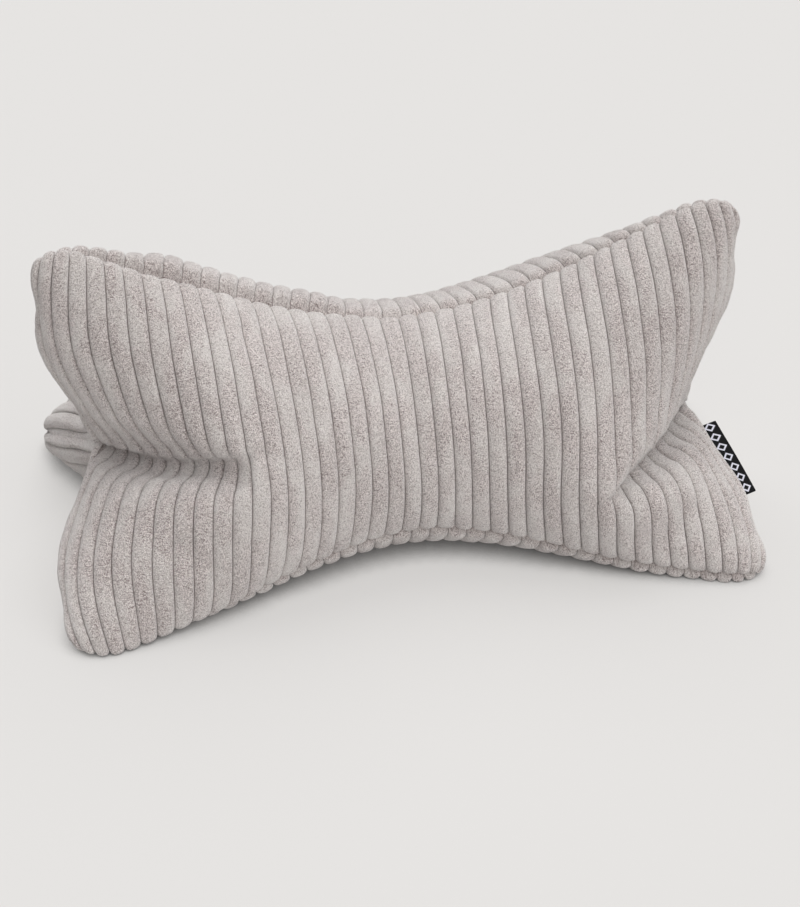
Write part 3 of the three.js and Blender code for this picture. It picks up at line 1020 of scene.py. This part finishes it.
@dataclass(frozen=True)
class CorduroyFinish:
    """Plush wide-wale corduroy in a light warm grey, in metres."""

    light: Colour = (0.87, 0.795, 0.771, 1.0)
    neutral: Colour = (0.86, 0.812, 0.782, 1.0)
    dark: Colour = (0.247, 0.194, 0.183, 1.0)
    # Groove colour: partly the bare ground of the cloth, partly painted shade deep in the narrow grooves.
    groove_base_and_shade: Colour = (0.26, 0.213, 0.198, 1.0)
    wale_pitch: float = 0.01096
    grain: float = 0.0005
    fleck_wide: float = 0.0016
    fleck_tall: float = 0.0010
    brush_wide: float = 0.016
    brush_tall: float = 0.034
    shade: float = 0.06
    ragged: float = 0.0016
    raggedness: float = 0.05
    groove_share: float = 0.045
    brush_edges: Edges = (0.36, 0.62)
    curl_edges: Edges = (0.52, 0.3)
    grain_edges: Edges = (0.25, 0.75)
    fleck_on_brushed: float = 0.45
    speckle: float = 0.78
    speckle_on_rough: float = 0.35
    tone: float = 0.68
    tone_of_rough: float = 0.05
    tone_of_fleck: float = 0.32
    tone_of_shade: float = 0.3
    fuzz_height: float = 0.8
    wale_height: float = 0.8
    bump: float = 0.0009
    bump_strength: float = 0.7
    roughness: float = 0.95
    specular: float = 0.15
    sheen: float = 1.0
    sheen_roughness: float = 0.4
    sheen_tint: Colour = (1.0, 0.985, 0.97, 1.0)

    def make(self) -> bpy.types.Material:
        """Makes the material.

        Returns:
            The material.
        """
        graph = ShaderGraph("corduroy_pile")
        where = graph.node("ShaderNodeTexCoord", output="Object")
        wales = graph.node("ShaderNodeUVMap", {"uv_map": WALE_MAP})
        across = graph.node("ShaderNodeSeparateXYZ", {}, {"Vector": wales}, output="X")
        ragged = graph.noise(where, 1 / self.ragged, detail=1.0, roughness=0.5)
        from_groove = 0.5 - abs((across + (ragged - 0.5) * self.raggedness).fraction() - 0.5)
        out_of_groove = from_groove.eased(0.0, self.groove_share)
        curls = self.on_cloth(graph, wales, self.fleck_wide, self.fleck_tall)
        strokes = self.on_cloth(graph, wales, self.brush_wide, self.brush_tall)
        grain = graph.noise(where, 1 / self.grain, detail=1.0, roughness=0.5)
        curl = graph.noise(curls, 1.0, detail=1.0, roughness=0.6, distortion=0.8)
        brush = graph.noise(strokes, 1.0, detail=2.0, roughness=0.6, distortion=0.5)
        shade = graph.noise(where, 1 / self.shade, detail=1.0, roughness=0.5)
        rough = brush.eased(*self.brush_edges)
        flecked = rough * (1 - self.fleck_on_brushed) + self.fleck_on_brushed
        fleck = curl.eased(*self.curl_edges) * flecked
        fuzz = grain.eased(*self.grain_edges) - 0.5
        speckle = fuzz * (rough * self.speckle_on_rough + self.speckle)
        darker = rough * self.tone_of_rough + fleck * self.tone_of_fleck
        tone = self.tone - darker + speckle + (shade - 0.5) * self.tone_of_shade
        nap = graph.mixed(rough, self.neutral, self.light)
        cloth = graph.mixed(tone.eased(0.0, 1.0), self.dark, nap)
        # The grooves take the groove colour, which is partly the cloth's bare ground and partly painted
        # shade.
        colour = graph.mixed(out_of_groove, self.groove_base_and_shade, cloth)
        height = fuzz * self.fuzz_height - fleck + out_of_groove * self.wale_height
        return graph.surface(
            {
                "Base Color": colour,
                "Roughness": self.roughness,
                "Specular IOR Level": self.specular,
                "Sheen Weight": self.sheen,
                "Sheen Roughness": self.sheen_roughness,
                "Sheen Tint": self.sheen_tint,
                "Normal": graph.bumped(height, self.bump, self.bump_strength),
            }
        )

    def on_cloth(self, graph: ShaderGraph, wales: Wire, wide: float, tall: float) -> Wire:
        """Coordinates over the cloth that run from 0 to 1 over a patch.

        Args:
            graph: The node tree.
            wales: Wale coordinates.
            wide: Size of a patch across the wales.
            tall: Size of a patch along the wales.

        Returns:
            The coordinates.
        """
        scale = (self.wale_pitch / wide, self.wale_pitch / tall, 1.0)
        return graph.node("ShaderNodeVectorMath", {"operation": "MULTIPLY"}, {0: wales, 1: scale})


@dataclass(frozen=True)
class RibbonFinish:
    """Dense black woven ribbon with a row of pale open lozenges, in metres."""

    black: Colour = (0.008, 0.008, 0.009, 1.0)
    worn: Colour = (0.012, 0.012, 0.013, 1.0)
    pale: Colour = (0.66, 0.66, 0.74, 1.0)
    thread: float = 0.0005
    lozenge_pitch: float = 0.008
    lozenge_place: float = 0.0080
    lozenge_size: float = 0.0026
    lozenge_line: float = 0.0007
    lozenge_blur: float = 0.0001
    weave_edges: Edges = (0.2, 0.8)
    bump: float = 0.0002
    bump_strength: float = 0.5
    roughness: float = 0.75
    specular: float = 0.06
    sheen: float = 0.01

    def make(self) -> bpy.types.Material:
        """Makes the material.

        Returns:
            The material.
        """
        graph = ShaderGraph("label_weave")
        split = {"Vector": graph.node("ShaderNodeUVMap", {"uv_map": RIBBON_MAP})}
        along = graph.node("ShaderNodeSeparateXYZ", {}, split, output="X")
        across = graph.node("ShaderNodeSeparateXYZ", {}, split, output="Y")
        warp = abs((along * (1 / self.thread)).fraction() - 0.5)
        weft = abs((across * (1 / self.thread)).fraction() - 0.5)
        weave = warp + weft
        tone = graph.mixed(weave.eased(*self.weave_edges), self.black, self.worn)
        from_middle = abs((along * (1 / self.lozenge_pitch)).fraction() - 0.5) * self.lozenge_pitch
        lozenge = abs(from_middle + abs(abs(across) - self.lozenge_place) - self.lozenge_size)
        motif = lozenge.eased(self.lozenge_line + self.lozenge_blur, self.lozenge_line - self.lozenge_blur)
        return graph.surface(
            {
                "Base Color": graph.mixed(motif, tone, self.pale),
                "Roughness": self.roughness,
                "Specular IOR Level": self.specular,
                "Sheen Weight": self.sheen,
                "Normal": graph.bumped(weave, self.bump, self.bump_strength),
            }
        )


@dataclass(frozen=True)
class FloorFinish:
    """A plain pale studio floor with a painted glow in its emission, faded to a painted contact shadow close
    to what stands on it.
    """

    pale: Colour = (0.225, 0.221, 0.217, 1.0)
    # Painted glow that lifts the floor's shadows, and below it the black of the painted contact shadow.
    painted_glow: Colour = (0.493, 0.483, 0.473, 1.0)
    painted_contact_shadow: Colour = (0.0, 0.0, 0.0, 1.0)
    reach: float = 0.018
    contact_shadow_edges: Edges = (0.02, 0.66)
    contact_shadow_samples: int = 4
    roughness: float = 0.9

    def make(self) -> bpy.types.Material:
        """Makes the material.

        Returns:
            The material.
        """
        graph = ShaderGraph("studio_floor")
        settings = {"samples": self.contact_shadow_samples}
        # Occlusion fades the painted glow to black close to the pillow, painting a contact shadow on the
        # floor.
        clear = graph.node("ShaderNodeAmbientOcclusion", settings, {"Distance": self.reach}, output="AO")
        painted_glow = graph.mixed(clear.eased(*self.contact_shadow_edges), self.painted_contact_shadow, self.painted_glow)
        graph.material.cycles.emission_sampling = "NONE"
        return graph.surface(
            {
                "Base Color": self.pale,
                "Roughness": self.roughness,
                "Specular IOR Level": 0.0,
                "Emission Color": painted_glow,
                "Emission Strength": 1.0,
            }
        )


def finished_object(name: str, shape: bmesh.types.BMesh, material: bpy.types.Material) -> bpy.types.Object:
    """Turns a shape into an object of the scene, smooth and dressed.

    Args:
        name: Name of the object.
        shape: Its shape, which is freed.
        material: Its material.

    Returns:
        The object, at the origin.
    """
    for face in shape.faces:
        face.smooth = True
    mesh = bpy.data.meshes.new(name)
    shape.to_mesh(mesh)
    shape.free()
    mesh.materials.append(material)
    made = bpy.data.objects.new(name, mesh)
    bpy.context.scene.collection.objects.link(made)
    return made


def write_map(
    faces: Iterable[bmesh.types.BMFace], layer: bmesh.types.BMLayerItem, on_map: dict[bmesh.types.BMVert, Any]
) -> None:
    """Writes the map coordinates of points onto the corners of faces.

    Args:
        faces: The faces.
        layer: The map.
        on_map: Two coordinates for each point.
    """
    for face in faces:
        for loop in face.loops:
            loop[layer].uv = on_map[loop.vert]


@dataclass
class Pillow:
    """The sewn and stuffed cover as one closed padded piece."""

    surface: CorduroySurface = field(default_factory=CorduroySurface)
    finish: CorduroyFinish = field(default_factory=CorduroyFinish)
    fill: float = 0.65
    places: np.ndarray = field(init=False)

    def build(self) -> bpy.types.Object:
        """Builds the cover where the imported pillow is.

        Returns:
            The cover.
        """
        places, maps = self.surface.build()
        low, high = (np.array(corner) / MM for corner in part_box("pillow"))
        flat = places.reshape(-1, 3)
        shift = (low + high) / 2 - (flat.min(axis=0) + flat.max(axis=0)) / 2
        shift[2] = 0.0
        self.places = places + shift
        shape = bmesh.new()
        layer = shape.loops.layers.uv.new(WALE_MAP)
        for panel in Panel:
            self.lay_panel(shape, layer, self.places[panel] * MM, maps[panel])
        self.sew(shape)
        cover = finished_object("pillow_cover", shape, self.finish.make())
        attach(cover, "root")
        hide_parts("pillow")
        return cover

    @staticmethod
    def lay_panel(
        shape: bmesh.types.BMesh, layer: bmesh.types.BMLayerItem, places: np.ndarray, wales: np.ndarray
    ) -> None:
        """Lays a grid of faces over one panel.

        Args:
            shape: The shape that gets the panel.
            layer: The map that gets the wale coordinates.
            places: Places by column and row.
            wales: Wale coordinates by column and row.
        """
        columns, rows = places.shape[0], places.shape[1]
        made = bmesh.ops.create_grid(shape, x_segments=columns - 1, y_segments=rows - 1, size=0.5)["verts"]
        spots = [(round((v.co.x + 0.5) * (columns - 1)), round((v.co.y + 0.5) * (rows - 1))) for v in made]
        on_map = {}
        for vert, spot in zip(made, spots):
            vert.co = places[spot]
            on_map[vert] = wales[spot]
        write_map({face for vert in made for face in vert.link_faces}, layer, on_map)

    @staticmethod
    def sew(shape: bmesh.types.BMesh) -> None:
        """Joins the panels along their edges and splits the corner cells through the corners.

        Args:
            shape: The three laid panels.
        """
        corners = [vert for vert in shape.verts if len(vert.link_faces) == 1]
        for corner in corners:
            near = {corner, *(edge.other_vert(corner) for edge in corner.link_edges)}
            opposite = next(vert for vert in corner.link_faces[0].verts if vert not in near)
            bmesh.ops.connect_verts(shape, verts=[corner, opposite])
        edge = [vert for vert in shape.verts if vert.is_boundary]
        bmesh.ops.remove_doubles(shape, verts=edge, dist=SEWN_TOGETHER)
        bmesh.ops.recalc_face_normals(shape, faces=shape.faces)


@dataclass
class Label:
    """A narrow ribbon folded double in the end seam of the front lower right knob, in millimetres."""

    pillow: Pillow
    finish: RibbonFinish = field(default_factory=RibbonFinish)
    from_share: float = 0.25
    to_share: float = 0.71
    stand_out: float = 13.5
    tucked_in: float = 2.5
    lean: float = 30.0
    skew: float = 2.4
    layer_gap: float = 0.45
    ribbon: float = 0.4
    fold_share: float = 0.3
    fold_power: float = 1.6
    fold_start: float = 0.87
    fold_round: float = 6.0
    cells_along: int = 48
    cells_out: int = 10

    def seam_frames(self) -> tuple[np.ndarray, np.ndarray]:
        """Places along the seam between the label's ends, and the direction that it stands out in.

        Returns:
            Places, and one direction for the whole label.
        """
        surface = self.pillow.surface
        share = surface.shares()
        spots = self.pillow.places
        step = surface.samples_per_wale
        asked = -np.linspace(self.to_share, self.from_share, self.cells_along + 1)

        def seam(panel: Panel, column: int, sign: int) -> np.ndarray:
            """Places at the asked shares in one column of a panel."""
            rows = spots[panel, column]
            return np.stack([np.interp(sign * asked, share, rows[:, axis]) for axis in range(3)], axis=-1)

        place = seam(Panel.FRONT, -1, 1)
        front = unit(place - seam(Panel.FRONT, -1 - step, 1))
        under = unit(place - seam(Panel.UNDER, -1 - step, -1))
        return place, unit((front + under).mean(axis=0))

    def outward_share(self, turn: float) -> float:
        """How far out the ribbon is, as a share of its reach.

        Args:
            turn: Share of the way along the ribbon from its fold at 0 to its sewn edge at 1.

        Returns:
            The share.
        """
        if turn < self.fold_share:
            return 1 - turn ** self.fold_power
        return self.fold_start * (1 - turn) / (1 - self.fold_share)

    def build(self) -> bpy.types.Object:
        """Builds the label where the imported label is.

        Returns:
            The label.
        """
        place, out = self.seam_frames()
        along = unit(place[-1] - place[0])
        upright = unit(out - along * (out @ along))
        lean = math.radians(self.lean)
        out = math.cos(lean) * upright + math.sin(lean) * np.cross(along, upright)
        side = np.cross(along, out)
        sag = (place - place[0]) @ out + self.skew * np.linspace(1.0, 0.0, self.cells_along + 1)
        shape = bmesh.new()
        layer = shape.loops.layers.uv.new(RIBBON_MAP)
        rows = 2 * self.cells_out
        made = bmesh.ops.create_grid(shape, x_segments=self.cells_along, y_segments=rows, size=0.5)["verts"]
        reach = self.stand_out + self.tucked_in
        half_gap = (self.layer_gap + self.ribbon) / 2
        on_map = {}
        for vert in made:
            station = round((vert.co.x + 0.5) * self.cells_along)
            turn = vert.co.y * 2
            outward = reach * self.outward_share(abs(turn))
            layer_side = half_gap * math.tanh(turn * self.fold_round)
            straight = outward / reach * sag[station]
            spot = place[station] + out * (outward - self.tucked_in - straight) + side * layer_side
            vert.co = spot * MM
            length = np.linalg.norm(place[station] - place[0])
            on_map[vert] = (length * MM, turn * reach * MM)
        write_map(shape.faces, layer, on_map)
        bmesh.ops.solidify(shape, geom=shape.faces[:], thickness=self.ribbon * MM)
        bmesh.ops.recalc_face_normals(shape, faces=shape.faces)
        tab = finished_object("seam_label", shape, self.finish.make())
        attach(tab, "root")
        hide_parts("label")
        width = float(np.linalg.norm(place[-1] - place[0])) * MM
        return tab


@dataclass
class Studio:
    """Floor, soft light and the camera at the photograph's angle."""

    floor_size: float = 60.0
    floor_cells: int = 8
    azimuth: float = -11.53
    elevation: float = 30.5
    distance: float = 1.334
    target: Triple = (0.0, 0.0, 0.08)
    target_pixel: tuple[float, float] = (395.4, 396.1)
    focal_pixels: float = 2108.0
    sensor: float = 36.0
    world_strength: float = 0.17
    key_strength: float = 2.0
    key_spread: float = 80.0
    key_place: Triple = (0.45, -0.95, 1.15)
    back_strength: float = 2.5
    back_spread: float = 60.0
    back_place: Triple = (0.0, 0.6, 1.0)

    def build(self) -> None:
        """Builds the floor, the lights and the camera."""
        bpy.context.scene.view_settings.view_transform = "Standard"
        shape = bmesh.new()
        cells = self.floor_cells
        bmesh.ops.create_grid(shape, x_segments=cells, y_segments=cells, size=self.floor_size / 2)
        floor = finished_object("studio_floor", shape, FloorFinish().make())
        self.light_world()
        self.hang_light("front_light", self.key_strength, self.key_spread, self.key_place)
        self.hang_light("back_light", self.back_strength, self.back_spread, self.back_place)
        self.place_camera()

    def light_world(self) -> None:
        """Lights the scene evenly from all round."""
        world = bpy.data.worlds.new("studio")
        world.use_nodes = True
        background = world.node_tree.nodes["Background"]
        background.inputs["Color"].default_value = (1.0, 1.0, 1.0, 1.0)
        background.inputs["Strength"].default_value = self.world_strength
        bpy.context.scene.world = world

    @staticmethod
    def hang_light(name: str, strength: float, spread: float, place: Triple) -> None:
        """Adds a broad soft light.

        Args:
            name: Name of the light.
            strength: Its strength.
            spread: How wide it looks, in degrees.
            place: The direction that it shines from.
        """
        data = bpy.data.lights.new(name, "SUN")
        data.energy = strength
        data.angle = math.radians(spread)
        made = bpy.data.objects.new(name, data)
        made.rotation_euler = Vector(place).to_track_quat("Z", "Y").to_euler()
        bpy.context.scene.collection.objects.link(made)

    def place_camera(self) -> None:
        """Places the camera so that its target falls on its pixel of the photograph's frame."""
        turn, rise = math.radians(self.azimuth), math.radians(self.elevation)
        back = Vector((math.sin(turn) * math.cos(rise), -math.cos(turn) * math.cos(rise), math.sin(rise)))
        right = Vector((math.cos(turn), math.sin(turn), 0.0))
        up = back.cross(right)
        width, height = PHOTO_SIZE
        aside = (width / 2 - self.target_pixel[0]) / self.focal_pixels * self.distance
        above = (self.target_pixel[1] - height / 2) / self.focal_pixels * self.distance
        target = Vector(self.target)
        data = bpy.data.cameras.new("camera")
        data.sensor_width = self.sensor
        data.lens = self.focal_pixels / max(PHOTO_SIZE) * self.sensor
        made = bpy.data.objects.new("camera", data)
        made.location = target + back * self.distance
        aim = target + right * aside + up * above
        made.rotation_euler = (aim - made.location).to_track_quat("-Z", "Y").to_euler()
        bpy.context.scene.collection.objects.link(made)
        bpy.context.scene.camera = made


def report(piece: bpy.types.Object) -> None:
    """Logs a piece with its faces and its box."""
    spans = ", ".join(f"{side / MM:.1f}" for side in piece.dimensions)
    log.info("%s: %d faces, %s mm", piece.name, len(piece.data.polygons), spans)


def main() -> None:
    """Builds the pillow, its label and the studio in order."""
    logging.basicConfig(level=logging.INFO, format="%(name)s %(message)s")
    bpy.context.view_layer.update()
    pillow = Pillow()
    report(pillow.build())
    report(Label(pillow).build())
    Studio().build()


if __name__ == "__main__":
    main()
